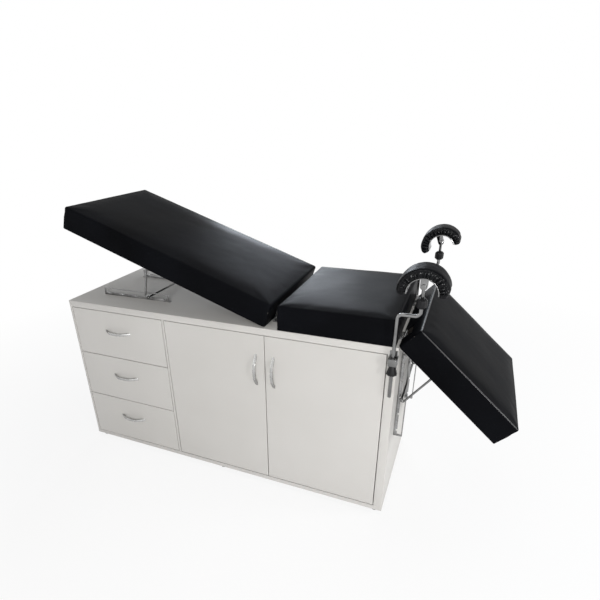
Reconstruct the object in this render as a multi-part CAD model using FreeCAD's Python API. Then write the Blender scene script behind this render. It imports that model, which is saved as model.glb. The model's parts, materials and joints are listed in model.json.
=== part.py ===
# Gynaecological examination table: cabinet, three padded sections, prop racks and two knee rests.
# Millimetres, +Z up, X from the head end to the foot end, Y from the front face backwards.
# Pieces are modelled with X and Y from the cabinet's front left corner and moved to the origin at the end.
import FreeCAD
import Part

import math
import os

from FreeCAD import Vector

# Cabinet
cabinet_length = 1462.0
cabinet_depth = 550.0
cabinet_height = 730.0
foot_height = 18.0
top_thickness = 28.0
bottom_thickness = 18.0
head_wall = 10.0
foot_wall = 33.0
divider_wall = 9.0
back_wall = 6.0
shelf_wall = 15.0
shelf_height = 330.0
shelf_setback = 60.0
front_thickness = 18.0
front_gap = 3.0
front_edge_round = 2.0
drawer_bank_width = 494.0
drawer_count = 3

# Drawers and their runners
drawer_box_height = 150.0
drawer_box_lift = 22.0
drawer_box_depth = 470.0
drawer_wall = 12.0
drawer_floor = 6.0
runner_space = 12.5
runner_height = 44.0
runner_reach = 9.0
runner_wall = 1.2
runner_play = 0.4
runner_length = 450.0

# Bow handles
handle_centres = 128.0
handle_foot = 12.0
handle_width = 11.0
handle_thickness = 5.0
handle_reach = 27.0
handle_shoulder = 36.0
handle_crown = 4.0
handle_bend = 9.0
handle_above_middle = 20.0
door_handle_inset = 37.0
door_handle_drop = 183.0

# Door pivots
pivot_radius = 2.5
pivot_inset = 6.0
pivot_length = 12.0
running_play = 0.05

# Levelling feet
foot_disc_radius = 16.0
foot_disc_height = 6.0
foot_stem_radius = 5.0
foot_stem_grip = 14.0
foot_inset = 31.0

# Padded sections
pad_height = 97.0
pad_round = 12.0
pad_corner = 14.0
pad_notch_play = 2.0
skirt = 6.0
hollow_depth = 54.0
board_thickness = 9.0
batten_width = 25.0
pad_lift = 0.5
seat_length = 435.0
seat_end_gap = 8.0
back_length = 975.0
leg_length = 462.0
back_angle = 19.6
leg_angle = 42.2

# Section hinges
hinge_barrel = 5.0
hinge_pin = 2.5
hinge_leaf = 2.0
hinge_width = 66.0
hinge_inset = 105.0
back_axis_gap = 6.0
back_axis_lift = 7.0
leg_axis_gap = 6.0
leg_axis_lift = 6.5
leg_pad_gap = 1.0
back_leaf_gap = 8.0
leaf_reach = 24.0
leg_leaf_inset = 19.0
flap_height = 34.0

# Notched racks
rack_length = 360.0
rack_height = 34.0
rack_thickness = 3.0
rack_flange = 16.0
rack_band = 13.0
rack_rail = 4.0
rack_end = 8.0
notch_first = 34.0
notch_pitch = 75.0
notch_width = 11.0
notch_depth = 6.0
rack_inset = 125.0
top_rack_start = 106.0
foot_rack_drop = 80.0
screw_head = 5.0
screw_head_height = 2.5

# Props
bar_radius = 4.0
bar_play = 0.4
eye_radius = 7.0
eye_length = 9.0
prop_inset = 112.0
back_prop_foot = 15.0
back_prop_bend = 8.0
leg_prop_foot = 18.0
leg_prop_bend = 5.5
prop_pivot_depth = 8.0
trunnion_length = 14.0
bracket_wall = 3.0
bracket_width = 26.0
seat_play = 0.3
back_notch_count = 3
leg_notch_count = 2
back_prop_angle = 11.5
leg_prop_angle = 36.3
bend_facet_count = 5

# Knee rests
rest_rod_radius = 6.0
rest_rod_inset = 12.0
rest_rod_out = 21.0
rest_rod_drop = 180.0
rest_arm_height = 128.0
rest_arm_reach = 68.0
rest_rod_top = 166.0
rest_bend = 16.0
clamp_height = 26.0
clamp_width = 30.0
clamp_drop = 42.0
clamp_plate = 4.0
clamp_plate_height = 62.0
clamp_knob_radius = 19.0
clamp_knob_top_radius = 9.0
clamp_knob_height = 36.0
clamp_knob_gap = 0.5
clamp_knob_bevel = 3.0
knob_groove_share = 0.1
knob_rib_count = 10
joint_knob_radius = 17.5
joint_knob_bottom = 156.0
joint_knob_height = 34.0
joint_knob_bevel = 7.0
stem_radius = 5.0
stem_eye_radius = 9.0
cup_pivot_height = 228.0
cup_centre_height = 216.0
cup_inner_radius = 45.0
cup_band_wall = 3.0
cup_band_width = 84.0
cup_pad_wall = 29.0
cup_pad_width = 100.0
cup_pad_round = 9.0
cup_round_facet_count = 3
cup_band_end_angle = 4.0
cup_pad_end_angle = 6.0
cup_ear_wall = 3.0
cup_ear_width = 22.0
cup_bolt_radius = 4.0
cup_bolt_end = 4.0
cup_bolt_head_radius = 8.0
cup_bolt_head_height = 6.0
near_cup_angle = 0.0
far_cup_angle = -20.0

# Values worked out from the sizes above
top_z = foot_height + cabinet_height
pad_width = cabinet_depth
rest_rod_x = cabinet_length - rest_rod_inset
front_bottom = foot_height + bottom_thickness + front_gap
front_top = top_z - top_thickness - front_gap
front_height = (front_top - front_bottom - (drawer_count - 1) * front_gap) / drawer_count
inner_bottom = foot_height + bottom_thickness
inner_top = top_z - top_thickness
drawer_left = head_wall + front_gap
bank_right = head_wall + drawer_bank_width
drawer_right = bank_right - front_gap
doors_left = bank_right + divider_wall + front_gap
doors_right = cabinet_length - foot_wall - front_gap
door_width = (doors_right - doors_left - front_gap) / 2
back_end = cabinet_length - seat_end_gap - seat_length - back_axis_gap - hinge_barrel - leaf_reach - back_leaf_gap
back_axis = Vector(back_end + back_axis_gap, 0, top_z + back_axis_lift)
leg_axis = Vector(cabinet_length + leg_axis_gap, 0, top_z + leg_axis_lift)
leg_start = cabinet_length + leg_pad_gap
bar_rise = rack_band + bar_play + bar_radius
middle_y = cabinet_depth / 2

Y_AXIS = Vector(0, 1, 0)
Z_AXIS = Vector(0, 0, 1)


def box(x0, x1, y0, y1, z0, z1):
    """A box between two corners."""
    return Part.makeBox(x1 - x0, y1 - y0, z1 - z0, Vector(x0, y0, z0))


def rod(start, end, radius):
    """A round rod between two points."""
    line = end - start
    return Part.makeCylinder(radius, line.Length, start, line)


def group(pieces):
    """Separate solids that share one node."""
    return Part.makeCompound(list(pieces))


def joined(pieces):
    """One solid made of pieces that touch or overlap."""
    pieces = list(pieces)
    return pieces[0].fuse(pieces[1:]).removeSplitter()


def mirrored(shape):
    """The same shape on the far side of the table."""
    return shape.mirror(Vector(0, middle_y, 0), Y_AXIS)


def both_sides(shape):
    """A piece and its mirror image."""
    return [shape, mirrored(shape)]


def turned(shape, centre, axis, angle):
    """A copy turned about an axis, in degrees."""
    copy = shape.copy()
    copy.rotate(centre, axis, angle)
    return copy


def face_of(points):
    """A flat face inside straight edges."""
    return Part.Face(Part.makePolygon(points + [points[0]]))


def bent_rod(points, radius, bend):
    """A round rod along straight runs joined by bends, each bend a few short mitred lengths."""
    path = [points[0]]
    for before, corner, after in zip(points, points[1:], points[2:]):
        back = (before - corner).normalize()
        ahead = (after - corner).normalize()
        half_turn = (math.pi - back.getAngle(ahead)) / 2
        arc_start = corner + back * (bend * math.tan(half_turn))
        centre = corner + (back + ahead).normalize() * (bend / math.cos(half_turn))
        step = 2 * half_turn / bend_facet_count
        spoke = (arc_start - centre) / math.cos(step / 2)
        for index in range(bend_facet_count):
            turn = FreeCAD.Rotation(ahead.cross(back), math.degrees((index + 0.5) * step))
            path.append(centre + turn.multVec(spoke))
    path.append(points[-1])
    section = Part.Wire([Part.makeCircle(radius, path[0], path[1] - path[0])])
    mitred = 1
    return Part.Wire(Part.makePolygon(path)).makePipeShell([section], True, False, mitred)


def round_edges(shape, radius, chosen):
    """Fillet the edges that a test picks."""
    edges = [edge for edge in shape.Edges if chosen(edge)]
    return shape.makeFillet(radius, edges)


def upright(edge):
    """Whether a straight edge stands along Z."""
    box_of = edge.BoundBox
    return box_of.ZLength > 1 and box_of.XLength < 0.01 and box_of.YLength < 0.01


def at_height(edge, height):
    """Whether an edge lies level at one height."""
    box_of = edge.BoundBox
    return abs(box_of.ZMin - height) < 0.01 and abs(box_of.ZMax - height) < 0.01


# Cabinet


def door_pivots():
    """The two pivot centres of each door, as X places."""
    return [doors_left + pivot_inset, doors_right - pivot_inset]


def pivot_hole(x, z0, z1, play=0.0):
    """The bore of a door pivot between two heights."""
    return rod(Vector(x, pivot_inset, z0), Vector(x, pivot_inset, z1), pivot_radius + play)


def foot_places():
    """Where the levelling feet stand."""
    for x in (foot_inset, cabinet_length / 2, cabinet_length - foot_inset):
        for y in (foot_inset, cabinet_depth - foot_inset):
            yield x, y


def make_cabinet():
    """Top, bottom, walls, shelf, feet and door pivots."""
    top = box(0, cabinet_length, 0, cabinet_depth, inner_top, top_z)
    bottom = box(0, cabinet_length, 0, cabinet_depth, foot_height, inner_bottom)
    pins = []
    for x in door_pivots():
        low = (inner_bottom - pivot_length, front_bottom + pivot_length)
        high = (front_top - pivot_length, inner_top + pivot_length)
        for z0, z1 in (low, high):
            pin = pivot_hole(x, z0, z1)
            pins.append(pin)
            top = top.cut(pin)
            bottom = bottom.cut(pin)
    feet = []
    for x, y in foot_places():
        disc = rod(Vector(x, y, 0), Vector(x, y, foot_disc_height), foot_disc_radius)
        stem = rod(Vector(x, y, 0), Vector(x, y, foot_height + foot_stem_grip), foot_stem_radius)
        bottom = bottom.cut(stem)
        feet.append(joined([disc, stem]))
    inner_back = cabinet_depth - back_wall
    divider_x = bank_right
    return {
        "cabinet_top": top,
        "cabinet_bottom": bottom,
        "head_end_panel": box(0, head_wall, 0, cabinet_depth, inner_bottom, inner_top),
        "foot_end_panel": box(
            cabinet_length - foot_wall, cabinet_length, 0, cabinet_depth, inner_bottom, inner_top),
        "back_panel": box(
            head_wall, cabinet_length - foot_wall, inner_back, cabinet_depth, inner_bottom, inner_top),
        "divider": box(divider_x, divider_x + divider_wall, 0, inner_back, inner_bottom, inner_top),
        "shelf": box(
            divider_x + divider_wall, cabinet_length - foot_wall, shelf_setback, inner_back,
            inner_bottom + shelf_height, inner_bottom + shelf_height + shelf_wall),
        "levelling_feet": group(feet),
        "door_pivot_pins": group(pins),
    }


def bow_handle(x, z, along):
    """A flat bow handle on the front face, its length along X or Z, with leaning legs and an arched grip."""
    across = along.cross(Y_AXIS)
    corner = Vector(x, 0, z) - across * (handle_width / 2)
    at = lambda length, out: corner + along * length + Y_AXIS * -out
    half = handle_centres / 2 + handle_foot / 2
    shoulder = half - handle_shoulder
    grip = handle_reach - handle_crown
    inside = grip - handle_thickness
    crown_inside = handle_reach - handle_thickness
    inner_foot = half - handle_foot
    outline = [
        Part.LineSegment(at(-half, 0), at(-shoulder, grip)),
        Part.Arc(at(-shoulder, grip), at(0, handle_reach), at(shoulder, grip)),
        Part.LineSegment(at(shoulder, grip), at(half, 0)),
        Part.LineSegment(at(half, 0), at(inner_foot, 0)),
        Part.LineSegment(at(inner_foot, 0), at(shoulder, inside)),
        Part.Arc(at(shoulder, inside), at(0, crown_inside), at(-shoulder, inside)),
        Part.LineSegment(at(-shoulder, inside), at(-inner_foot, 0)),
        Part.LineSegment(at(-inner_foot, 0), at(-half, 0))]
    strap = Part.Face(Part.Wire([piece.toShape() for piece in outline])).extrude(across * handle_width)
    return round_edges(strap, handle_bend, lambda edge: len(edge.Vertexes) == 2 and is_shoulder(edge, along, grip))


def is_shoulder(edge, along, grip):
    """Whether an edge of a handle is one of its two outer shoulders."""
    level = -edge.CenterOfMass.y
    straight = abs(edge.Vertexes[0].Point.y - edge.Vertexes[1].Point.y) < 0.01
    crosswise = abs((edge.Vertexes[0].Point - edge.Vertexes[1].Point).dot(along)) < 0.01
    return straight and crosswise and abs(level - grip) < 0.01


def channel(x_back, toward, length, y0, z_middle, height, reach):
    """A U-shaped runner, open towards one side, its back plate at x_back."""
    x_tip = x_back + toward * reach
    outer = box(min(x_back, x_tip), max(x_back, x_tip), y0, y0 + length,
                z_middle - height / 2, z_middle + height / 2)
    x_inside = x_back + toward * runner_wall
    inner = box(min(x_inside, x_tip + toward), max(x_inside, x_tip + toward), y0 - 1, y0 + length + 1,
                z_middle - height / 2 + runner_wall, z_middle + height / 2 - runner_wall)
    return outer.cut(inner)


def make_drawer(number):
    """One drawer's front, handle, box and runners, and its fixed runners."""
    z0 = front_top - number * front_height - (number - 1) * front_gap
    z1 = z0 + front_height
    front = box(drawer_left, drawer_right, 0, front_thickness, z0, z1)
    front = round_edges(front, front_edge_round, lambda edge: edge.BoundBox.YMax < 0.01)
    box_left = head_wall + runner_space
    box_right = bank_right - runner_space
    box_bottom = z0 + drawer_box_lift
    box_back = front_thickness + drawer_box_depth
    tray = box(box_left, box_right, front_thickness, box_back, box_bottom, box_bottom + drawer_box_height)
    tray = tray.cut(box(
        box_left + drawer_wall, box_right - drawer_wall, front_thickness + drawer_wall, box_back - drawer_wall,
        box_bottom + drawer_floor, box_bottom + drawer_box_height + 1))
    middle = box_bottom + runner_height
    inner_height = runner_height - 2 * runner_wall - 2 * runner_play
    moving = [
        channel(box_left, -1, runner_length, front_thickness, middle, inner_height, runner_reach),
        channel(box_right, 1, runner_length, front_thickness, middle, inner_height, runner_reach)]
    fixed = [
        channel(head_wall, 1, runner_length, front_thickness, middle, runner_height, runner_reach),
        channel(bank_right, -1, runner_length, front_thickness, middle, runner_height, runner_reach)]
    handle = bow_handle((drawer_left + drawer_right) / 2, (z0 + z1) / 2 + handle_above_middle, Vector(1, 0, 0))
    name = "drawer_%d" % number
    return {
        name + "_front": front,
        name + "_box": tray,
        name + "_handle": handle,
        name + "_runners": group(moving),
    }, fixed


def make_door(name, x0, pivot_x, handle_x):
    """One inset door that turns on two pins near its outer front edge."""
    door = box(x0, x0 + door_width, 0, front_thickness, front_bottom, front_top)
    door = round_edges(door, front_edge_round, lambda edge: edge.BoundBox.YMax < 0.01)
    for z0, z1 in ((front_bottom - 1, front_bottom + pivot_length), (front_top - pivot_length, front_top + 1)):
        door = door.cut(pivot_hole(pivot_x, z0, z1, running_play))
    return {
        name: door,
        name + "_handle": bow_handle(handle_x, top_z - door_handle_drop, Z_AXIS),
    }


# Padded sections, modelled flat on the cabinet top


def pad_shell(x0, length):
    """A rounded pad with a pocket below for its frame and board."""
    z0 = top_z + pad_lift
    pad = box(x0, x0 + length, 0, pad_width, z0, z0 + pad_height)
    pad = round_edges(pad, pad_corner, upright)
    pad = round_edges(pad, pad_round, lambda edge: at_height(edge, z0 + pad_height))
    pocket = box(x0 + skirt, x0 + length - skirt, skirt, pad_width - skirt,
                 z0 - 1, z0 + hollow_depth + board_thickness)
    return pad.cut(pocket)


def pad_frame(x0, length, cross_from):
    """The battens under a pad and the board on top of them."""
    z0 = top_z + pad_lift
    x_in, x_out = x0 + skirt, x0 + length - skirt
    battens = box(x_in, x_out, skirt, pad_width - skirt, z0, z0 + hollow_depth)
    hole = box(x_in + cross_from, x_out - batten_width, skirt + batten_width, pad_width - skirt - batten_width,
               z0 - 1, z0 + hollow_depth + 1)
    board = box(x_in, x_out, skirt, pad_width - skirt, z0 + hollow_depth, z0 + hollow_depth + board_thickness)
    return battens.cut(hole), board


def hinge_places():
    """Where each section's two hinges lie across the table."""
    return [hinge_inset, cabinet_depth - hinge_inset]


def hinge(axis, y_middle, fixed_to, flap_face, flap_side):
    """One butt hinge: fixed leaf, pin and flap, for a section that lies flat.

    fixed_to is where the fixed leaf ends, and flap_face is the face that the flap is screwed to.
    """
    third = hinge_width / 3
    y0 = y_middle - hinge_width / 2
    pin = rod(Vector(axis.x, y0, axis.z), Vector(axis.x, y0 + hinge_width, axis.z), hinge_pin)
    leaf_parts = []
    for start in (y0, y0 + 2 * third):
        barrel = rod(Vector(axis.x, start, axis.z), Vector(axis.x, start + third - seat_play, axis.z), hinge_barrel)
        leaf_parts.append(barrel)
        leaf_parts.append(box(
            min(axis.x, fixed_to), max(axis.x, fixed_to), start, start + third - seat_play,
            top_z, top_z + hinge_leaf))
        web = box(axis.x - hinge_leaf, axis.x + hinge_leaf, start, start + third - seat_play, top_z, axis.z)
        leaf_parts.append(web)
    toward = 1 if fixed_to > axis.x else -1
    tie_start = axis.x + toward * (hinge_barrel + 2 * hinge_leaf)
    leaf_parts.append(box(
        min(tie_start, fixed_to), max(tie_start, fixed_to), y0, y0 + hinge_width - seat_play,
        top_z, top_z + hinge_leaf))
    leaf = joined(leaf_parts).cut(pin)
    flap_y0 = y0 + third + seat_play
    flap_y1 = y0 + 2 * third - 2 * seat_play
    bore = rod(Vector(axis.x, flap_y0 - 1, axis.z), Vector(axis.x, flap_y1 + 1, axis.z), hinge_pin + running_play)
    plate_x = flap_face + flap_side * hinge_leaf
    flap = joined([
        rod(Vector(axis.x, flap_y0, axis.z), Vector(axis.x, flap_y1, axis.z), hinge_barrel),
        box(min(flap_face, axis.x), max(flap_face, axis.x), flap_y0, flap_y1,
            axis.z - hinge_leaf / 2, axis.z + hinge_leaf / 2),
        box(min(flap_face, plate_x), max(flap_face, plate_x), flap_y0, flap_y1,
            axis.z - hinge_leaf / 2, axis.z + flap_height)]).cut(bore)
    return leaf, pin, flap


# Props: where the bar lies, where the leg ends, and the pivot under the pad


def lie_flat(point, axis, angle):
    """Where a point of a tilted section lies once the section is level."""
    moved = point - axis
    swing = math.radians(angle)
    return Vector(
        axis.x + moved.x * math.cos(swing) - moved.z * math.sin(swing), 0,
        axis.z + moved.x * math.sin(swing) + moved.z * math.cos(swing))


def prop_geometry(axis, angle, foot, lean):
    """The prop's pivot, from the leg's foot, its lean and the tilted underside."""
    swing = math.radians(angle)
    slope = math.radians(lean)
    normal = Vector(math.sin(swing), 0, math.cos(swing))
    leg = Vector(math.sin(slope), 0, math.cos(slope))
    underside = (pad_lift + top_z - axis.z) + prop_pivot_depth
    length = (underside - (foot - axis).dot(normal)) / leg.dot(normal)
    return foot + leg * length


back_bar = Vector(top_rack_start + notch_first + back_notch_count * notch_pitch, 0, top_z + bar_rise)
back_foot = back_bar + Vector(-back_prop_foot, 0, 0)
back_pivot = prop_geometry(back_axis, back_angle, back_foot, back_prop_angle)
leg_bar = Vector(
    cabinet_length + bar_rise, 0, top_z - foot_rack_drop - notch_first - leg_notch_count * notch_pitch)
leg_foot = leg_bar + Vector(0, 0, -leg_prop_foot)
leg_pivot = prop_geometry(leg_axis, leg_angle, leg_foot, leg_prop_angle)


def prop_bar(place):
    """The cross bar that lies in both racks."""
    start = prop_inset - eye_length / 2
    return rod(Vector(place.x, start, place.z), Vector(place.x, cabinet_depth - start, place.z), bar_radius)


def prop_leg(bar, foot, pivot, bend):
    """One prop leg: eye on the bar, hooked foot, leg and outward trunnion."""
    y = prop_inset
    at = lambda point, across: Vector(point.x, across, point.z)
    path = [at(bar, y), at(foot, y), at(pivot, y), at(pivot, y - trunnion_length)]
    wire_leg = bent_rod(path, bar_radius, bend)
    eye_start = at(bar, y - eye_length / 2)
    eye = rod(eye_start, eye_start + Vector(0, eye_length, 0), eye_radius)
    bore = rod(eye_start - Vector(0, 1, 0), eye_start + Vector(0, eye_length + 1, 0), bar_radius + running_play)
    return joined([wire_leg, eye]).cut(bore)


def prop_bracket(pivot_flat):
    """The plate under the board that faces a trunnion's end."""
    y1 = prop_inset - trunnion_length - seat_play
    y0 = y1 - bracket_wall
    z_top = top_z + pad_lift + hollow_depth
    half = bracket_width / 2
    plate = box(pivot_flat.x - half, pivot_flat.x + half, y0, y1, pivot_flat.z - eye_radius, z_top)
    plate = round_edges(plate, eye_radius - 1, lambda edge: edge.BoundBox.ZMax < pivot_flat.z
                        and edge.BoundBox.YLength > 1)
    flange = box(pivot_flat.x - half, pivot_flat.x + half, y0 - bracket_width, y1, z_top - bracket_wall, z_top)
    hole = rod(Vector(pivot_flat.x, y0 - 1, pivot_flat.z), Vector(pivot_flat.x, y1 + 1, pivot_flat.z),
               bar_radius + seat_play)
    return joined([plate, flange]).cut(hole)


def make_sections():
    """Seat, back and leg sections with their hinges, props and brackets."""
    seat_start = cabinet_length - seat_end_gap - seat_length
    seat_battens, seat_board = pad_frame(seat_start, seat_length, batten_width)
    back_start = back_end - back_length
    back_battens, back_board = pad_frame(back_start, back_length, batten_width)
    leg_battens, leg_board = pad_frame(leg_start, leg_length, 2 * batten_width)
    leg_pad = pad_shell(leg_start, leg_length)
    seat_pad = pad_shell(seat_start, seat_length)
    leg_recess = leg_start + skirt + hinge_barrel + 2 * hinge_leaf

    leaves, pins, back_flaps, leg_leaves, leg_flaps = [], [], [], [], []
    for y in hinge_places():
        leaf, pin, flap = hinge(
            back_axis, y, back_axis.x + leaf_reach, back_end, 1)
        leaves.append(leaf)
        pins.append(pin)
        back_flaps.append(flap)
        leaf, pin, flap = hinge(
            leg_axis, y, cabinet_length - leg_leaf_inset, leg_recess, -1)
        leg_leaves.append(leaf)
        pins.append(pin)
        leg_flaps.append(flap)
        reach = hinge_width / 2 + pad_notch_play
        notch = box(leg_start - 1, leg_recess, y - reach, y + reach,
                    top_z, leg_axis.z + flap_height + pad_notch_play)
        leg_pad = leg_pad.cut(notch)
        leg_battens = leg_battens.cut(notch)
        leaf_room = box(cabinet_length - leg_leaf_inset - pad_notch_play, cabinet_length, y - reach, y + reach,
                        top_z, top_z + hinge_leaf + pad_lift)
        seat_pad = seat_pad.cut(leaf_room)
        seat_battens = seat_battens.cut(leaf_room)

    back_pivot_flat = lie_flat(back_pivot, back_axis, back_angle)
    leg_pivot_flat = lie_flat(leg_pivot, leg_axis, leg_angle)
    back_fittings = back_flaps + both_sides(prop_bracket(back_pivot_flat))
    leg_fittings = leg_flaps + both_sides(prop_bracket(leg_pivot_flat))

    raised = lambda shape: turned(shape, back_axis, Y_AXIS, back_angle)
    lowered = lambda shape: turned(shape, leg_axis, Y_AXIS, leg_angle)
    return {
        "seat_pad": seat_pad,
        "seat_frame": group([seat_battens, seat_board]),
        "back_pad": raised(pad_shell(back_start, back_length)),
        "back_frame": group([raised(back_battens), raised(back_board)]),
        "back_fittings": group([raised(piece) for piece in back_fittings]),
        "leg_pad": lowered(leg_pad),
        "leg_frame": group([lowered(leg_battens), lowered(leg_board)]),
        "leg_fittings": group([lowered(piece) for piece in leg_fittings]),
        "back_hinge_leaves": group(leaves),
        "leg_hinge_leaves": group(leg_leaves),
        "hinge_pins": group(pins),
        "back_prop_bar": prop_bar(back_bar),
        "back_prop_legs": group(both_sides(prop_leg(back_bar, back_foot, back_pivot, back_prop_bend))),
        "leg_prop_bar": prop_bar(leg_bar),
        "leg_prop_legs": group(both_sides(prop_leg(leg_bar, leg_foot, leg_pivot, leg_prop_bend))),
    }


# Racks


def flat_rack(y0):
    """A notched rack that lies along X from zero and stands on z = 0, its flange towards the middle."""
    plate = box(0, rack_length, y0, y0 + rack_thickness, 0, rack_height)
    plate = round_edges(plate, rack_end / 2, lambda edge: edge.BoundBox.YLength > 1
                        and edge.BoundBox.ZMin > rack_height - 1)
    channel_cut = box(rack_end, rack_length - rack_end, y0 - 1, y0 + rack_thickness + 1,
                      rack_band, rack_height - rack_rail)
    plate = plate.cut(round_edges(channel_cut, bar_radius, lambda edge: edge.BoundBox.YLength > 1))
    place = notch_first
    while place + notch_width < rack_length - rack_end:
        floor = rack_band - notch_depth + notch_width / 2
        cutter = rod(Vector(place, y0 - 1, floor), Vector(place, y0 + rack_thickness + 1, floor), notch_width / 2)
        slot = box(place - notch_width / 2, place + notch_width / 2, y0 - 1, y0 + rack_thickness + 1,
                   floor, rack_band + 1)
        plate = plate.cut(cutter).cut(slot)
        place += notch_pitch
    flange = box(0, rack_length, y0, y0 + rack_flange, 0, hinge_leaf)
    return joined([plate, flange])


def rack_screws(y0):
    """Three hexagonal screw heads on a rack's flange."""
    y = y0 + (rack_flange + rack_thickness) / 2
    for x in (rack_end + screw_head, rack_length / 2, rack_length - rack_end - screw_head):
        corners = [Vector(x, y, hinge_leaf) + FreeCAD.Rotation(Z_AXIS, 60 * side).multVec(Vector(screw_head, 0, 0))
                   for side in range(6)]
        yield face_of(corners).extrude(Z_AXIS * screw_head_height)


def stood_on_end(shape):
    """Move a flat rack to the foot end, its length downwards and its height outwards."""
    copy = turned(shape, Vector(0, 0, 0), Y_AXIS, 90)
    copy.translate(Vector(cabinet_length, 0, top_z - foot_rack_drop))
    return copy


def laid_on_top(shape):
    """Move a flat rack to the cabinet top."""
    copy = shape.copy()
    copy.translate(Vector(top_rack_start, 0, top_z))
    return copy


def make_racks():
    """Two racks on the cabinet top and two on the foot end."""
    rack = flat_rack(rack_inset)
    screws = list(rack_screws(rack_inset))
    heads = []
    for head in screws:
        heads += both_sides(laid_on_top(head)) + both_sides(stood_on_end(head))
    return {
        "top_racks": group(both_sides(laid_on_top(rack))),
        "foot_racks": group(both_sides(stood_on_end(rack))),
        "rack_screws": group(heads),
    }


# Knee rests, modelled at the front and mirrored to the back


def grip_knob(start, axis, widths):
    """A ribbed knob along an axis, from the radius over its ribs at each height."""
    aside = axis.cross(Vector(1, 0, 0)).normalize()
    count = 2 * knob_rib_count
    rings = []
    for height, radius in widths:
        ring = []
        for index in range(count):
            turn = FreeCAD.Rotation(axis, 360 * index / count)
            reach = radius * (1 - knob_groove_share * (index % 2))
            ring.append(start + axis * height + turn.multVec(aside) * reach)
        rings.append(ring)
    faces = [face_of(rings[0]), face_of(rings[-1])]
    for low, high in zip(rings, rings[1:]):
        for index in range(count):
            after = (index + 1) % count
            faces.append(face_of([low[index], low[after], high[after], high[index]]))
    return Part.Solid(Part.Shell(faces))


def arch(section, centre, end_angle):
    """A slab bent over an axis along Y, from its section at the left end, going past level by an angle."""
    start = turned(face_of(section), centre, Y_AXIS, -end_angle)
    return start.revolve(centre, Y_AXIS, 180 + 2 * end_angle)


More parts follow.
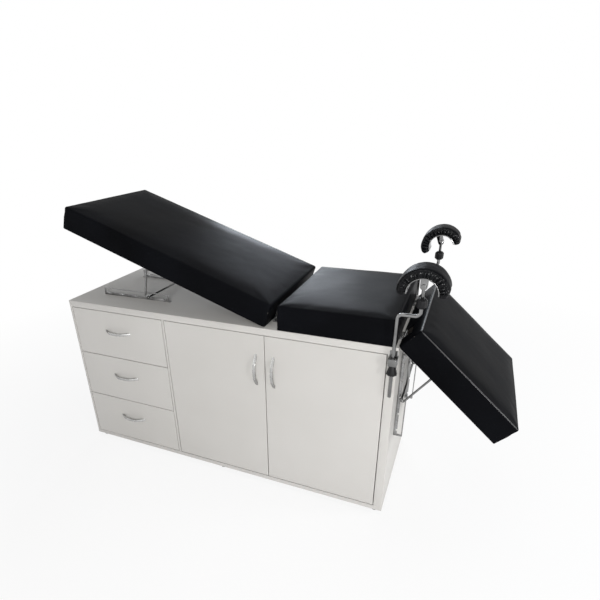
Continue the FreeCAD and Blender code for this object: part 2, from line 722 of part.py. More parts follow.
def make_rest(side, cup_turn):
    """One knee rest with its clamp, as pieces at the front."""
    x, y = rest_rod_x, -rest_rod_out
    arm_x = x + rest_arm_reach
    at = lambda px, pz: Vector(px, y, top_z + pz)
    tube = bent_rod(
        [at(x, -rest_rod_drop), at(x, rest_arm_height), at(arm_x, rest_arm_height), at(arm_x, rest_rod_top)],
        rest_rod_radius, rest_bend)

    z_clamp = top_z - clamp_drop
    half = clamp_width / 2
    block_front = y - rest_rod_radius - 2 * clamp_plate
    block = box(x - half, x + half, block_front, 0, z_clamp - clamp_height / 2, z_clamp + clamp_height / 2)
    block = round_edges(block, clamp_plate, lambda edge: upright(edge) and edge.BoundBox.YMax < y)
    plate_right = min(x + half, cabinet_length)
    plate = box(x - half, plate_right, -clamp_plate, 0,
                z_clamp - clamp_plate_height / 2, z_clamp + clamp_plate_height / 2)
    bore = rod(at(x, -clamp_drop - clamp_plate_height), at(x, clamp_plate_height - clamp_drop),
               rest_rod_radius + running_play)
    clamp = joined([block, plate]).cut(bore)
    clamp_knob_drop = clamp_drop + clamp_height / 2 + clamp_knob_gap + clamp_knob_height
    clamp_knob = grip_knob(at(x, -clamp_knob_drop), Z_AXIS, [
        (0, clamp_knob_radius - clamp_knob_bevel), (clamp_knob_bevel, clamp_knob_radius),
        (clamp_knob_height, clamp_knob_top_radius)]).cut(bore)

    tip = at(arm_x, rest_rod_top)
    knob_base = at(arm_x, joint_knob_bottom)
    rod_bore = rod(knob_base - Z_AXIS, tip + Z_AXIS * seat_play, rest_rod_radius + running_play)
    stem_bore = rod(tip, at(arm_x, joint_knob_bottom + joint_knob_height + 1), stem_radius + running_play)
    joint_knob = grip_knob(knob_base, Z_AXIS, [
        (0, joint_knob_radius - joint_knob_bevel), (joint_knob_bevel, joint_knob_radius),
        (joint_knob_height - joint_knob_bevel, joint_knob_radius),
        (joint_knob_height, joint_knob_radius - joint_knob_bevel)]).cut(rod_bore).cut(stem_bore)

    pivot = at(arm_x, cup_pivot_height)
    ear_inside = stem_radius + seat_play
    eye_end = Vector(0, stem_radius, 0)
    stem = joined([
        rod(tip + Z_AXIS * seat_play, pivot, stem_radius),
        rod(pivot - eye_end, pivot + eye_end, stem_eye_radius)])
    stem = stem.cut(rod(pivot - eye_end * 2, pivot + eye_end * 2, cup_bolt_radius + running_play))

    centre = at(arm_x, cup_centre_height)
    band_outer = cup_inner_radius + cup_band_wall
    out = lambda radius, across: Vector(centre.x - radius, y + across, centre.z)
    half_band = cup_band_width / 2
    band = arch([out(cup_inner_radius, -half_band), out(band_outer, -half_band),
                 out(band_outer, half_band), out(cup_inner_radius, half_band)], centre, cup_band_end_angle)
    ears = []
    for direction in (-1, 1):
        inside = y + direction * ear_inside
        outside = inside + direction * cup_ear_wall
        ear = box(arm_x - cup_ear_width / 2, arm_x + cup_ear_width / 2, min(inside, outside), max(inside, outside),
                  pivot.z, centre.z + cup_inner_radius)
        eye = rod(Vector(arm_x, min(inside, outside), pivot.z), Vector(arm_x, max(inside, outside), pivot.z),
                  cup_ear_width / 2)
        ears += [ear, eye]
    bolt_reach = ear_inside + cup_ear_wall
    bolt_half = Y_AXIS * (bolt_reach + cup_bolt_end)
    bolt = rod(pivot - bolt_half, pivot + bolt_half, cup_bolt_radius)
    bolt_heads = [
        rod(pivot + way * bolt_reach, pivot + way * (bolt_reach + cup_bolt_head_height), cup_bolt_head_radius)
        for way in (Y_AXIS, Y_AXIS * -1)]
    frame = joined([band] + ears + [bolt] + bolt_heads)

    pad_outer = band_outer + cup_pad_wall
    half_pad = cup_pad_width / 2
    section = [out(band_outer, half_pad), out(band_outer, -half_pad)]
    for edge_side, first in ((-1, 180), (1, 90)):
        for index in range(cup_round_facet_count + 1):
            turn = math.radians(first - 90 * index / cup_round_facet_count)
            section.append(out(
                pad_outer - cup_pad_round + cup_pad_round * math.sin(turn),
                edge_side * (half_pad - cup_pad_round) + cup_pad_round * math.cos(turn)))
    pad = arch(section, centre, cup_pad_end_angle)

    cup = lambda shape: turned(shape, pivot, Y_AXIS, cup_turn)
    return {
        side + "_clamp": clamp,
        side + "_clamp_knob": clamp_knob,
        side + "_rest_rod": tube,
        side + "_joint_knob": joint_knob,
        side + "_rest_stem": stem,
        side + "_rest_frame": cup(frame),
        side + "_rest_pad": cup(pad),
    }


def make_everything():
    """Every node's shape, with X and Y from the cabinet's front left corner."""
    nodes = make_cabinet()
    fixed_runners = []
    for number in range(1, drawer_count + 1):
        drawer, fixed = make_drawer(number)
        nodes.update(drawer)
        fixed_runners += fixed
    nodes["fixed_runners"] = group(fixed_runners)
    split = (doors_left + doors_right) / 2
    left_pivot, right_pivot = door_pivots()
    nodes.update(make_door("left_door", doors_left, left_pivot, split - door_handle_inset))
    nodes.update(make_door("right_door", doors_right - door_width, right_pivot, split + door_handle_inset))
    nodes.update(make_sections())
    nodes.update(make_racks())
    nodes.update(make_rest("near", near_cup_angle))
    for name, shape in make_rest("far", far_cup_angle).items():
        nodes[name] = mirrored(shape)
    return nodes


def origin_shift(nodes):
    """The move that puts the origin under the middle of the whole object."""
    whole = nodes["cabinet_top"].BoundBox
    for shape in nodes.values():
        whole.add(shape.BoundBox)
    return Vector(-whole.Center.x, -middle_y, 0)


def main():
    """Build, place and write every node."""
    os.makedirs("parts", exist_ok=True)
    nodes = make_everything()
    shift = origin_shift(nodes)
    print("shift", shift.x, shift.y, "nodes", len(nodes))
    for name, shape in nodes.items():
        placed = shape.copy()
        placed.translate(shift)
        placed.exportStep("parts/%s.step" % name)


main()
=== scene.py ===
import json
import math
import random

import bmesh
import bpy
from mathutils import Euler, Matrix, Vector, noise


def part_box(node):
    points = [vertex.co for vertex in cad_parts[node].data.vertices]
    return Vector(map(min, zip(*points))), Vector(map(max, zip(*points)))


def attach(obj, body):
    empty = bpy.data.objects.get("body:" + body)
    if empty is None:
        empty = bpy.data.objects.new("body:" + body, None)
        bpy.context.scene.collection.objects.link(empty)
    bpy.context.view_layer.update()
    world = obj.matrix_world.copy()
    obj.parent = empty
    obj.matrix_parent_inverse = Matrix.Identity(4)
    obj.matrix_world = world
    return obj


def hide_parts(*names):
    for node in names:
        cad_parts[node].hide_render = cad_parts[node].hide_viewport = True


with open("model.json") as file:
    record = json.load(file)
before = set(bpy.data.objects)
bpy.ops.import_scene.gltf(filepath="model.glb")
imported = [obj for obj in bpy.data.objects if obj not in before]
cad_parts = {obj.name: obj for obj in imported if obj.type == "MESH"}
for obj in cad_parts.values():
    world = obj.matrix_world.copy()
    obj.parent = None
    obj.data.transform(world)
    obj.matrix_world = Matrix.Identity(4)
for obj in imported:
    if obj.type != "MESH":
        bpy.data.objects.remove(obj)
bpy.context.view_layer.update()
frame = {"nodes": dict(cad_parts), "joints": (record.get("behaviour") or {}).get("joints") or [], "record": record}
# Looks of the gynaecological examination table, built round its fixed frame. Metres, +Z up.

random.seed(7)

# Camera, fitted to the photograph
camera_place = (0.6899, -1.6991, 1.4309)
camera_turn = (63.906, 2.232, 24.484)
focal_share = 456.385 / 600
sensor_width = 36.0
centre_shift = (0.0720, 0.0815)

# Pads: each cover is built level, then turned to where its section rests
back_angle = 19.6
leg_angle = 42.2
pad_round = 0.009
pad_corner = 0.012
pad_inset = 0.002
skirt = 0.006
pocket_height = 0.063
grid_step = 0.010
round_marks = (0.12, 0.35, 0.65, 1.0)
seam_marks = (-0.003, 0.0, 0.002)
tolerance = 0.001

# Share of a rounded top edge, down and across, that has the piece's second vinyl
stretched_drop = 0.7
stretched_reach = 0.45

# Swell of a pad's top and sides, with the scale per metre and the share of each ripple
pad_crown = 0.004
crown_level = 0.8
crown_squareness = 6
crown_band = 0.4
ripple_height = 0.0010
ripples = ((8.0, 0.6), (25.0, 0.2))
pad_bulge = 0.0016
bulge_squareness = 4
side_reach = 0.01
pull_height = 0.0009
seam_drop = 0.011
seam_depth = 0.0007
seam_width = 0.0022

# Room cut out of the leg pad for its hinges
room_width = 0.070
room_play = 0.004
room_reach = 0.0155
room_height = 0.036
room_margin = 0.02

# Knee rests
band_radius = 0.0483
cup_width = 0.096
cup_thickness = 0.0275
cup_corner = 0.011
cup_corner_steps = 5
cup_crown = 0.0012
cup_crown_steps = 9
cup_side_shares = (0.0, 0.2, 0.4)
cup_drop = 0.012
cup_overrun = 6.0
cup_turns = {"near": 0.0, "far": -20.0}
cup_rows = 260
cup_end_share = 0.07
cup_end_thickness = 0.6
cup_end_width = 0.9
cup_fullness = 0.002
cup_side_inset = 0.001
cup_waver = 0.0006

# Gathers along both edges of a knee rest's cover
pleat_count = 17
pleat_spare = 3
pleat_height = 0.0058
pleat_start = 0.55
pleat_weakest = 0.35
pleat_top_share = 0.3
pleat_sharpness = 0.7
pleat_lead = 0.6
pleat_broad_drift = 0.45
pleat_fine_drift = 0.2
gather_margin = 0.002

# Cloth that swells each cover
cloth_frames = 20
cloth_pressure = 4.0
cloth_growth = -0.01
pad_cap = 0.0025
cup_cap = 0.002

# Small rounds along the hard edges, by material
edge_widths = {
    "laminate": 0.0008,
    "drawer_board": 0.0005,
    "timber": 0.0010,
    "zinc_steel": 0.0003,
    "bright_rod": 0.0003,
    "handle_metal": 0.0010,
    "black_plastic": 0.0006,
    "foot_plastic": 0.0010,
}
weld_distance = 0.00001
flat_angle = 0.3
sharp_angle = 40

# Stage
floor_reach = 60.0
floor_shadow_share = 0.14
shadow_near = 1.2
shadow_far = 3.0
surround_strength = 0.20
sheen_colour = (0.84, 0.91, 1.0)
# Name, place, aim, size in metres and power in watts of each lamp
lamps = (
    ("front", (1.1, -3.4, 1.7), (0.0, 0.0, 0.5), 0.9, 72),
    ("over", (0.3, 0.3, 3.4), (0.1, 0.0, 0.8), 2.0, 22),
    ("head", (-3.2, -2.2, 1.4), (-0.3, 0.0, 0.5), 1.6, 10),
    ("foot", (2.8, -2.1, 1.5), (0.5, 0.0, 0.6), 0.22, 24),
    ("end", (3.6, 0.9, 1.3), (0.6, 0.0, 0.4), 1.0, 60),
    ("seat_sheen", (-1.2, 3.9, 1.85), (0.1, 0.0, 0.72), 1.1, 56),
    ("back_sheen", (-0.12, 3.0, 2.15), (-0.1, 0.0, 0.75), 0.6, 8),
)


# Materials


def new_material(name, **values):
    """A material and its shader, with plain values set on the shader's own sockets."""
    material = bpy.data.materials.new(name)
    material.use_nodes = True
    shader = material.node_tree.nodes["Principled BSDF"]
    for socket, value in values.items():
        shader.inputs[socket.replace("_", " ")].default_value = value
    return material, shader


def add(material, kind, **values):
    """A node in a material, its inputs set by name."""
    node = material.node_tree.nodes.new("ShaderNode" + kind)
    for key, value in values.items():
        node.inputs[key.replace("_", " ")].default_value = value
    return node


def link(material, source, target):
    """Join two sockets."""
    material.node_tree.links.new(source, target)


def place_of(material, scale=(1, 1, 1)):
    """The object's own coordinates in metres, stretched by a scale."""
    coordinates = material.node_tree.nodes.new("ShaderNodeTexCoord")
    mapping = add(material, "Mapping", Scale=scale)
    link(material, coordinates.outputs["Object"], mapping.inputs["Vector"])
    return mapping.outputs["Vector"]


def noise_of(material, place, scale, detail=3.0):
    """A noise texture at a scale per metre."""
    texture = add(material, "TexNoise", Scale=scale, Detail=detail)
    link(material, place, texture.inputs["Vector"])
    return texture.outputs["Fac"]


def spread(material, source, low, high, start=0.3, end=0.7):
    """A value mapped from one range to another."""
    node = add(material, "MapRange", From_Min=start, From_Max=end, To_Min=low, To_Max=high)
    link(material, source, node.inputs["Value"])
    return node.outputs["Result"]


def tint(material, source, dark, light, start=0.3, end=0.7):
    """Two colours mixed by a texture."""
    ramp = material.node_tree.nodes.new("ShaderNodeValToRGB")
    first, last = ramp.color_ramp.elements
    first.position, last.position = start, end
    first.color, last.color = (*dark, 1), (*light, 1)
    link(material, source, ramp.inputs["Fac"])
    return ramp.outputs["Color"]


def bump(material, shader, source, strength, distance, under=None):
    """Raise the surface by a texture, on top of another bump."""
    node = add(material, "Bump", Strength=strength, Distance=distance)
    link(material, source, node.inputs["Height"])
    if under is not None:
        link(material, under.outputs["Normal"], node.inputs["Normal"])
    link(material, node.outputs["Normal"], shader.inputs["Normal"])
    return node


def make_vinyl(name, gloss, rough, wave):
    """Black upholstery vinyl: pebbled grain, faint waves in the cover and uneven gloss."""
    material, shader = new_material(name, Specular_IOR_Level=gloss)
    place = place_of(material)
    cells = add(material, "TexVoronoi", Scale=650.0)
    cells.feature = "SMOOTH_F1"
    link(material, place, cells.inputs["Vector"])
    waves = noise_of(material, place_of(material, (7, 11, 9)), 1.0, 3.0)
    cloud = noise_of(material, place, 4.0, 4.0)
    colour = tint(material, cloud, (0.0030, 0.0031, 0.0036), (0.0052, 0.0056, 0.0070))
    link(material, colour, shader.inputs["Base Color"])
    link(material, spread(material, cloud, rough - 0.05, rough + 0.06), shader.inputs["Roughness"])
    broad = bump(material, shader, waves, wave, 0.004)
    bump(material, shader, cells.outputs["Distance"], 0.20, 0.0003, broad)
    return material


def make_laminate():
    """Warm grey melamine board with a fine pearl texture and a faint cloudiness."""
    material, shader = new_material("laminate", Specular_IOR_Level=0.3)
    place = place_of(material)
    cloud = noise_of(material, place, 2.0, 3.0)
    grain = noise_of(material, place, 900.0, 2.0)
    colour = tint(material, cloud, (0.560, 0.545, 0.520), (0.600, 0.585, 0.562))
    link(material, colour, shader.inputs["Base Color"])
    link(material, spread(material, grain, 0.46, 0.58), shader.inputs["Roughness"])
    bump(material, shader, grain, 0.12, 0.0003)
    return material


def make_board():
    """Pale board of the drawer boxes, with a faint grain."""
    material, shader = new_material("drawer_board", Roughness=0.55)
    grain = noise_of(material, place_of(material, (3, 60, 60)), 1.0, 5.0)
    colour = tint(material, grain, (0.58, 0.56, 0.52), (0.68, 0.66, 0.62))
    link(material, colour, shader.inputs["Base Color"])
    bump(material, shader, grain, 0.08, 0.0004)
    return material


def make_timber():
    """Very dark battens and boards, in a colour that stands in for shade where they show through the leg pad's
    hinge rooms: long grain with darker late-wood lines.
    """
    material, shader = new_material("timber", Roughness=0.68)
    rings = add(material, "TexWave", Scale=3.2, Distortion=6.0, Detail=3.0)
    link(material, place_of(material, (2.5, 2.5, 30)), rings.inputs["Vector"])
    # Painted shade: the timber is kept near black so that it reads as shade in the hinge rooms.
    colour = tint(material, rings.outputs["Fac"], (0.016, 0.013, 0.010), (0.036, 0.029, 0.022), 0.1, 0.9)
    link(material, colour, shader.inputs["Base Color"])
    bump(material, shader, rings.outputs["Fac"], 0.1, 0.0006)
    return material


def make_metal(name, dark, light, rim, rough, stretch, scratch):
    """A metal with fine marks drawn along one direction, and a painted dark reflection where its faces turn away
    from the view.
    """
    material, shader = new_material(name, Metallic=1.0)
    marks = noise_of(material, place_of(material, stretch), 1.0, 5.0)
    smudge = noise_of(material, place_of(material), 24.0, 3.0)
    # Painted dark reflection: the base colour runs to the rim colour where a face turns away from the view.
    painted_reflection_mask = add(material, "LayerWeight", Blend=0.35)
    mixed = add(material, "MixRGB", Color2=(*rim, 1))
    link(material, painted_reflection_mask.outputs["Facing"], mixed.inputs["Fac"])
    link(material, tint(material, smudge, dark, light), mixed.inputs["Color1"])
    link(material, mixed.outputs["Color"], shader.inputs["Base Color"])
    link(material, spread(material, marks, rough[0], rough[1]), shader.inputs["Roughness"])
    bump(material, shader, marks, scratch, 0.0002)
    return material


def make_plastic(name, dark, light, rough, gloss):
    """Moulded plastic with a fine spark texture."""
    material, shader = new_material(name, Specular_IOR_Level=gloss)
    place = place_of(material)
    spark = noise_of(material, place, 1400.0, 2.0)
    cloud = noise_of(material, place, 40.0, 3.0)
    link(material, tint(material, cloud, dark, light), shader.inputs["Base Color"])
    link(material, spread(material, cloud, rough - 0.05, rough + 0.06), shader.inputs["Roughness"])
    bump(material, shader, spark, 0.15, 0.0002)
    return material


def grey(level):
    """A neutral colour."""
    return (level, level, level)


materials = {
    "vinyl": make_vinyl("vinyl", gloss=0.009, rough=0.35, wave=0.10),
    "stretched_vinyl": make_vinyl("stretched_vinyl", gloss=0.60, rough=0.34, wave=0.0),
    "gathered_vinyl": make_vinyl("gathered_vinyl", gloss=0.12, rough=0.18, wave=0.10),
    "laminate": make_laminate(),
    "drawer_board": make_board(),
    "timber": make_timber(),
    # Each rim colour below is a painted dark reflection on faces turning away from the view.
    "zinc_steel": make_metal(
        "zinc_steel", dark=grey(0.26), light=grey(0.42), rim=grey(0.08),
        rough=(0.22, 0.36), stretch=(60, 900, 900), scratch=0.12),
    "bright_rod": make_metal(
        "bright_rod", dark=grey(0.20), light=grey(0.32), rim=grey(0.03),
        rough=(0.10, 0.20), stretch=(300, 300, 60), scratch=0.05),
    "handle_metal": make_metal(
        "handle_metal", dark=(0.46, 0.46, 0.45), light=(0.58, 0.58, 0.57), rim=grey(0.20),
        rough=(0.22, 0.34), stretch=(80, 700, 80), scratch=0.08),
    "black_plastic": make_plastic(
        "black_plastic", dark=(0.008, 0.008, 0.009), light=(0.014, 0.014, 0.015), rough=0.42, gloss=0.15),
    "foot_plastic": make_plastic(
        "foot_plastic", dark=(0.030, 0.030, 0.032), light=(0.050, 0.050, 0.052), rough=0.55, gloss=0.3),
}


def dress_frame():
    """Give every frame node its material, smooth round faces and a small round along its edges."""
    for part in frame["record"]["subparts"]:
        node = frame["nodes"][part["node"]]
        slot = part["material_slot"]
        node.data.materials.clear()
        node.data.materials.append(materials[slot])
        if slot == "vinyl":
            continue
        node.data.polygons.foreach_set("use_smooth", [True] * len(node.data.polygons))
        node.modifiers.new("weld", "WELD").merge_threshold = weld_distance
        flat = node.modifiers.new("flat", "DECIMATE")
        flat.decimate_type = "DISSOLVE"
        flat.angle_limit = math.radians(flat_angle)
        edge = node.modifiers.new("edge", "BEVEL")
        edge.width = edge_widths[slot]
        edge.segments = 2
        edge.limit_method = "ANGLE"
        edge.angle_limit = math.radians(sharp_angle)
        edge.harden_normals = True


# Shapes


def joint_place(name):
    """The point that a hinge turns about."""
    return next(Vector(joint["pos_m"]) for joint in frame["joints"] if joint["name"] == name)


def turn_about(place, angle):
    """A turn about a line through a point along Y, in degrees."""
    turn = Matrix.Rotation(math.radians(angle), 4, "Y")
    return Matrix.Translation(place) @ turn @ Matrix.Translation(-place)


def level_box(node, turn):
    """The corners of a tilted node once it is turned back level."""
    points = [turn.inverted() @ vertex.co for vertex in frame["nodes"][node].data.vertices]
    low = Vector([min(point[axis] for point in points) for axis in range(3)])
    high = Vector([max(point[axis] for point in points) for axis in range(3)])
    return low, high


def mesh_data(name, mesh):
    """Turn a mesh being built into mesh data."""
    data = bpy.data.meshes.new(name)
    mesh.to_mesh(data)
    mesh.free()
    return data


def place_object(name, data):
    """Put an object in the scene."""
    placed = bpy.data.objects.new(name, data)
    bpy.context.scene.collection.objects.link(placed)
    return placed


def new_piece(name, mesh, body, node, kinds):
    """Put a cover of one or more kinds of vinyl in the scene in place of a frame node."""
    data = mesh_data(name, mesh)
    for kind in kinds:
        data.materials.append(materials[kind])
    data.polygons.foreach_set("use_smooth", [True] * len(data.polygons))
    piece = place_object(name, data)
    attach(piece, body)
    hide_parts(node)
    return piece


def swell(piece, held, cap):
    """Blow a cover up a little as cloth, with the held vertices kept in place and every move capped."""
    piece.vertex_groups.new(name="held").add(held, 1.0, "REPLACE")
    rest = [vertex.co.copy() for vertex in piece.data.vertices]
    cloth = piece.modifiers.new("cloth", "CLOTH")
    cloth.settings.vertex_group_mass = "held"
    cloth.settings.use_pressure = True
    cloth.settings.uniform_pressure_force = cloth_pressure
    cloth.settings.shrink_min = cloth_growth
    cloth.settings.effector_weights.gravity = 0
    cloth.point_cache.frame_end = cloth_frames
    for number in range(1, cloth_frames + 1):
        bpy.context.scene.frame_set(number)
    graph = bpy.context.evaluated_depsgraph_get()
    moved = [vertex.co.copy() for vertex in piece.evaluated_get(graph).data.vertices]
    piece.modifiers.remove(cloth)
    bpy.context.scene.frame_set(1)
    for vertex, start, end in zip(piece.data.vertices, rest, moved):
        move = end - start
        vertex.co = start + move * min(1.0, cap / max(move.length, 1e-9))
    piece.vertex_groups.clear()


def apply_modifiers(piece):
    """Turn a piece's modifiers into plain mesh."""
    graph = bpy.context.evaluated_depsgraph_get()
    data = bpy.data.meshes.new_from_object(piece.evaluated_get(graph))
    piece.modifiers.clear()
    piece.data = data


def subdivide(piece):
    """Smooth a piece by one subdivision."""
    piece.modifiers.new("smooth", "SUBSURF").levels = 1
    apply_modifiers(piece)


def cut_rooms(piece, rooms, turn):
    """Cut level boxes, turned with the pad, out of a piece."""
    for low, high in rooms:
        mesh = bmesh.new()
        placed = turn @ Matrix.Translation((low + high) / 2) @ Matrix.Diagonal((*(high - low), 1))
        bmesh.ops.create_cube(mesh, size=1, matrix=placed)
        room = place_object("room", mesh_data("room", mesh))
        cut = piece.modifiers.new("cut", "BOOLEAN")
        cut.operation = "DIFFERENCE"
        cut.object = room
        apply_modifiers(piece)
        bpy.data.objects.remove(room)


# Seat, back and leg covers


def steps(low, high, marks):
    """Places from low to high that include the marks."""
    fixed = sorted({low, high, *marks})
    places = []
    for start, end in zip(fixed, fixed[1:]):
        count = max(1, math.ceil((end - start) / grid_step))
        places += [start + (end - start) * index / count for index in range(count)]
    return places + [high]


def end_marks(end, way, reach):
    """Places near one end that a rounded edge needs."""
    return [end + way * reach * share for share in round_marks]


def plan_steps(low, high, inner):
    """Places along one side of a pad, with its round corners and its pocket's walls."""
    marks = end_marks(low, 1, pad_corner) + end_marks(high, -1, pad_corner)
    return steps(low, high, marks + [low + inner, high - inner])


def rounded(point, low, high):
    """Pull a point of a box's surface onto the box with rounded upright corners and top edges."""
    x = min(max(point.x, low.x + pad_corner), high.x - pad_corner)
    y = min(max(point.y, low.y + pad_corner), high.y - pad_corner)
    side = Vector((point.x - x, point.y - y, 0))
    outward = side.normalized()
    reach = max(abs(side.x), abs(side.y))
    rise = max(0.0, point.z - (high.z - pad_round))
    past = max(0.0, reach - (pad_corner - pad_round))
    if rise > 0 and past > 0:
        shrink = max(rise, past) / math.hypot(rise, past)
        rise, past = rise * shrink, past * shrink
        reach = pad_corner - pad_round + past
        return Vector((x, y, high.z - pad_round + rise)) + outward * reach
    return Vector((x, y, point.z)) + outward * reach


def soften(point, low, high):
    """Crown the top, fill the sides, and sink a seam line round the cover under its top edge."""
    half = (high - low) / 2
    along = (point.x - low.x) / half.x - 1
    across = (point.y - low.y) / half.y - 1
    up = (point.z - low.z) / half.z - 1
    top = max(0.0, min(1.0, (up - (1 - crown_band)) / crown_band))
    crown = (1 - abs(along) ** crown_squareness) * (1 - abs(across) ** crown_squareness)
    ripple = sum(noise.noise(point * scale) * share for scale, share in ripples)
    point.z += top * (pad_crown * (crown - crown_level) + ripple_height * ripple)
    seam = math.exp(-((high.z - seam_drop - point.z) / seam_width) ** 2)
    fullness = pad_bulge * (1 - up * up) - seam_depth * seam
    tuck = noise.noise(Vector((point.x * 30, point.y * 30, point.z * 14)))
    pull = pull_height * tuck * (1 - abs(up))
    if abs(along) > 1 - side_reach / half.x:
        point.x += math.copysign(fullness * (1 - abs(across) ** bulge_squareness) + pull, along)
    if abs(across) > 1 - side_reach / half.y:
        point.y += math.copysign(fullness * (1 - abs(along) ** bulge_squareness) + pull, across)
    return point


def square(first, second):
    """The four grid corners of one face."""
    return (first, second), (first + 1, second), (first + 1, second + 1), (first, second + 1)


def pad_cover(low, high):
    """A crowned cover with a pocket below, as one closed mesh, and its vertices that stay put."""
    inset = Vector((pad_inset, pad_inset, 0))
    low, high = low + inset, high - inset
    inner = skirt - pad_inset
    x_steps = plan_steps(low.x, high.x, inner)
    y_steps = plan_steps(low.y, high.y, inner)
    seam = high.z - seam_drop
    z_steps = steps(low.z, high.z, end_marks(high.z, -1, pad_round) + [seam + mark for mark in seam_marks])
    mesh = bmesh.new()
    corners = {}

    def corner(column, row, level):
        key = (column, row, level)
        if key not in corners:
            point = rounded(Vector((x_steps[column], y_steps[row], z_steps[level])), low, high)
            corners[key] = mesh.verts.new(soften(point, low, high))
        return corners[key]

    def patch(first_range, second_range, place):
        for first in first_range:
            for second in second_range:
                mesh.faces.new([corner(*place(*pair)) for pair in square(first, second)])

    last_x, last_y, last_z = len(x_steps) - 1, len(y_steps) - 1, len(z_steps) - 1
    patch(range(last_x), range(last_y), lambda column, row: (column, row, last_z))
    for end in (0, last_y):
        patch(range(last_x), range(last_z), lambda column, level: (column, end, level))
    for end in (0, last_x):
        patch(range(last_y), range(last_z), lambda row, level: (end, row, level))
    left, right = x_steps.index(low.x + inner), x_steps.index(high.x - inner)
    front, back = y_steps.index(low.y + inner), y_steps.index(high.y - inner)
    for columns, rows in (
            (range(left), range(last_y)), (range(right, last_x), range(last_y)),
            (range(left, right), range(front)), (range(left, right), range(back, last_y))):
        patch(columns, rows, lambda column, row: (column, row, 0))
    add_pocket(mesh, x_steps[left:right + 1], y_steps[front:back + 1], low.z + pocket_height)
    bmesh.ops.recalc_face_normals(mesh, faces=mesh.faces)
    mesh.verts.index_update()
    mark_stretched_edge(mesh, low, high)
    return mesh, hold_pocket(mesh, low, high)


def add_pocket(mesh, x_steps, y_steps, height):
    """Close the open bottom of a cover with upright walls and a ceiling."""
    rim = [edge for edge in mesh.edges if edge.is_boundary]
    walls = bmesh.ops.extrude_edge_only(mesh, edges=rim)["geom"]
    ceiling = {}
    for vertex in (item for item in walls if isinstance(item, bmesh.types.BMVert)):
        vertex.co.z = height
        ceiling[round(vertex.co.x, 5), round(vertex.co.y, 5)] = vertex
    for first in range(len(x_steps) - 1):
        for second in range(len(y_steps) - 1):
            face = []
            for column, row in square(first, second):
                spot = round(x_steps[column], 5), round(y_steps[row], 5)
                if spot not in ceiling:
                    ceiling[spot] = mesh.verts.new((x_steps[column], y_steps[row], height))
                face.append(ceiling[spot])
            mesh.faces.new(face)


def mark_stretched_edge(mesh, low, high):
    """Give the round edge along a cover's top the piece's second material."""
    for face in mesh.faces:
        middle = face.calc_center_median()
        sides = (middle.x - low.x, high.x - middle.x, middle.y - low.y, high.y - middle.y)
        if middle.z > high.z - pad_round * stretched_drop and min(sides) < pad_round * stretched_reach:
            face.material_index = 1


def hold_pocket(mesh, low, high):
    """Crease the bottom rim and the pocket, and list their vertices."""
    inner = skirt - pad_inset - tolerance

    def is_held(point):
        inside = low.x + inner < point.x < high.x - inner and low.y + inner < point.y < high.y - inner
        return point.z < low.z + tolerance or inside and point.z < low.z + pocket_height + tolerance

    held = {vertex for vertex in mesh.verts if is_held(vertex.co)}
    crease = mesh.edges.layers.float.new("crease_edge")
    for edge in mesh.edges:
        edge[crease] = float(held.issuperset(edge.verts))
    return [vertex.index for vertex in held]


def hinge_rooms(pad_low):
    """Room round the leg section's hinges, seen level."""
    leaf_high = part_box("leg_hinge_leaves")[1]
    middle = leaf_high.y - (room_width - room_play) / 2
    top = joint_place("leg_tilt").z + room_height
    for side in (-1, 1):
        yield (Vector((pad_low.x - room_margin, side * middle - room_width / 2, pad_low.z - room_margin)),
               Vector((pad_low.x + room_reach, side * middle + room_width / 2, top)))


def make_pads():
    """Seat, back and leg covers."""
    for name, body, joint, angle, edge_kind in (
            ("seat_pad", "base", "back_tilt", 0.0, "vinyl"),
            ("back_pad", "back_section", "back_tilt", back_angle, "vinyl"),
            ("leg_pad", "leg_section", "leg_tilt", leg_angle, "stretched_vinyl")):
        turn = turn_about(joint_place(joint), angle)
        low, high = level_box(name, turn)
        mesh, held = pad_cover(low, high)
        mesh.transform(turn)
        piece = new_piece(name + "_cover", mesh, body, name, ("vinyl", edge_kind))
        swell(piece, held, pad_cap)
        subdivide(piece)
        if name == "leg_pad":
            cut_rooms(piece, hinge_rooms(low), turn)


# Knee rests


def cup_section():
    """Points across the width and out from the band, round a knee rest's cover."""
    half = cup_width / 2
    points = [(-half, cup_thickness * share) for share in cup_side_shares]
    for index in range(1, cup_corner_steps + 1):
        angle = math.pi / 2 * index / cup_corner_steps
        points.append((-half + cup_corner * (1 - math.cos(angle)),
                       cup_thickness - cup_corner * (1 - math.sin(angle))))
    for index in range(1, cup_crown_steps):
        across = (-half + cup_corner) * (1 - index / cup_crown_steps)
        points.append((across, cup_thickness + cup_crown * (1 - (across / half) ** 2)))
    points.append((0.0, cup_thickness + cup_crown))
    return points + [(-across, out) for across, out in reversed(points[:-1])]


def cup_point(along, across, out, shift, strengths):
    """Distance from the axis and place across the width of one point of a gathered cover."""
    half = cup_width / 2
    way = -1 if across < 0 else 1
    to_end = min(1.0, min(along, 1 - along) / cup_end_share)
    squeeze = math.sqrt(1 - (1 - to_end) ** 2) * (1 - cup_end_thickness) + cup_end_thickness
    edge = max(0.0, (abs(across) / half - pleat_start) / (1 - pleat_start))
    low = 1 - min(1.0, out / cup_thickness)
    drift = pleat_broad_drift * noise.noise(Vector((along * 9, way, 0)))
    drift += pleat_fine_drift * noise.noise(Vector((along * 30, out * 60, 5)))
    place = along * pleat_count + shift + drift + pleat_lead
    fold = 2 * abs(math.sin(math.pi * place)) ** pleat_sharpness - 1
    lessened = pleat_top_share + (1 - pleat_top_share) * low
    depth = pleat_height * strengths[int(place)] * fold * edge * lessened * to_end
    if out == 0:
        depth = 0.0
    fullness = cup_fullness * edge * math.sin(math.pi * min(1.0, out / cup_thickness))
    waver = cup_waver * noise.noise(Vector((along * 20, across * 60, out * 60)))
    slimmed = across * (cup_end_width + (1 - cup_end_width) * squeeze)
    return band_radius + out * squeeze + waver, slimmed + way * (depth + fullness - cup_side_inset * edge)


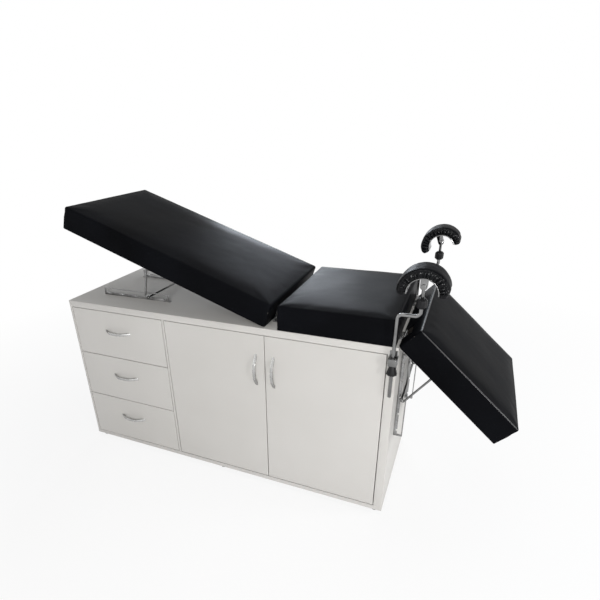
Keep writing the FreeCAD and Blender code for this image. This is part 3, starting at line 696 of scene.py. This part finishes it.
def make_cup(side):
    """One knee rest's cover: a curved roll of vinyl gathered along both edges of its metal band."""
    pivot = joint_place(side + "_rest_tilt")
    centre = pivot - Vector((0, 0, cup_drop))
    section = cup_section()
    count = pleat_count + pleat_spare
    strengths = {way: [random.uniform(pleat_weakest, 1.0) for _ in range(count)] for way in (-1, 1)}
    shifts = {way: random.uniform(0, 1) for way in (-1, 1)}
    mesh = bmesh.new()
    rows = []
    for row in range(cup_rows + 1):
        along = row / cup_rows
        angle = math.radians(180 + cup_overrun - along * (180 + 2 * cup_overrun))
        line = []
        for across, out in section:
            way = -1 if across < 0 else 1
            radius, width = cup_point(along, across, out, shifts[way], strengths[way])
            point = Vector((radius * math.cos(angle), width, radius * math.sin(angle)))
            line.append(mesh.verts.new(centre + point))
        rows.append(line)
    for before, after in zip(rows, rows[1:]):
        for index in range(len(section)):
            following = (index + 1) % len(section)
            face = mesh.faces.new([before[index], before[following], after[following], after[index]])
            farthest = max(section[index][1], section[following][1])
            face.material_index = int(farthest < cup_thickness - gather_margin)
    mesh.faces.new(rows[0])
    mesh.faces.new(rows[-1])
    bmesh.ops.recalc_face_normals(mesh, faces=mesh.faces)
    mesh.verts.index_update()
    held = [line[index].index for line in rows for index in (0, 1, len(section) - 2, len(section) - 1)]
    mesh.transform(turn_about(pivot, cup_turns[side]))
    rest = side + "_rest"
    piece = new_piece(rest + "_cover", mesh, rest, rest + "_pad", ("vinyl", "gathered_vinyl"))
    swell(piece, held, cup_cap)
    subdivide(piece)


# Stage


def seen_directly(tree):
    """One for rays from the camera and off shiny or clear things, and nothing for other light."""
    path = tree.nodes.new("ShaderNodeLightPath")
    total = path.outputs["Is Camera Ray"]
    for kind in ("Is Glossy Ray", "Is Transmission Ray"):
        either = tree.nodes.new("ShaderNodeMath")
        either.operation = "MAXIMUM"
        tree.links.new(total, either.inputs[0])
        tree.links.new(path.outputs[kind], either.inputs[1])
        total = either.outputs[0]
    return total


def make_floor():
    """A pale floor that keeps a soft shadow near the object and is white far from it."""
    data = bpy.data.meshes.new("floor")
    corners = [(x * floor_reach, y * floor_reach, 0) for x, y in ((-1, -1), (1, -1), (1, 1), (-1, 1))]
    data.from_pydata(corners, [], [(0, 1, 2, 3)])
    floor = place_object("floor", data)
    material, shader = new_material(
        "floor", Base_Color=(0.8, 0.8, 0.8, 1), Roughness=0.9, Specular_IOR_Level=0.1)
    tree = material.node_tree
    white = add(material, "Emission", Strength=1.0)
    away = tree.nodes.new("ShaderNodeVectorMath")
    away.operation = "LENGTH"
    link(material, place_of(material), away.inputs[0])
    share = tree.nodes.new("ShaderNodeMath")
    share.operation = "MULTIPLY"
    link(material, seen_directly(tree), share.inputs[0])
    whiteness = spread(material, away.outputs["Value"], 1 - floor_shadow_share, 1.0, shadow_near, shadow_far)
    link(material, whiteness, share.inputs[1])
    mixed = tree.nodes.new("ShaderNodeMixShader")
    link(material, share.outputs[0], mixed.inputs[0])
    link(material, shader.outputs[0], mixed.inputs[1])
    link(material, white.outputs[0], mixed.inputs[2])
    link(material, mixed.outputs[0], tree.nodes["Material Output"].inputs["Surface"])
    data.materials.append(material)


def make_surround():
    """A white surround that lights the object only faintly."""
    world = bpy.data.worlds.new("surround")
    bpy.context.scene.world = world
    world.use_nodes = True
    tree = world.node_tree
    strength = tree.nodes.new("ShaderNodeMapRange")
    strength.inputs["To Min"].default_value = surround_strength
    strength.inputs["To Max"].default_value = 1.0
    tree.links.new(seen_directly(tree), strength.inputs["Value"])
    tree.nodes["Background"].inputs["Color"].default_value = (1, 1, 1, 1)
    tree.links.new(strength.outputs["Result"], tree.nodes["Background"].inputs["Strength"])


def make_lights():
    """A lamp beside the camera, one over the table, three at its ends and two that gloss the pads."""
    for name, place, aim, size, power in lamps:
        data = bpy.data.lights.new(name, "AREA")
        data.size = size
        data.energy = power
        if name.endswith("sheen"):
            data.color = sheen_colour
        lamp = place_object(name, data)
        lamp.location = place
        lamp.rotation_euler = (Vector(aim) - Vector(place)).to_track_quat("-Z", "Y").to_euler()


def make_camera():
    """The photograph's viewpoint."""
    data = bpy.data.cameras.new("camera")
    data.sensor_width = sensor_width
    data.lens = sensor_width * focal_share
    data.shift_x, data.shift_y = centre_shift
    camera = place_object("camera", data)
    camera.location = camera_place
    camera.rotation_euler = Euler([math.radians(angle) for angle in camera_turn], "XYZ")
    bpy.context.scene.camera = camera


bpy.context.scene.view_settings.view_transform = "Standard"
dress_frame()
make_pads()
make_cup("near")
make_cup("far")
make_floor()
make_surround()
make_lights()
make_camera()
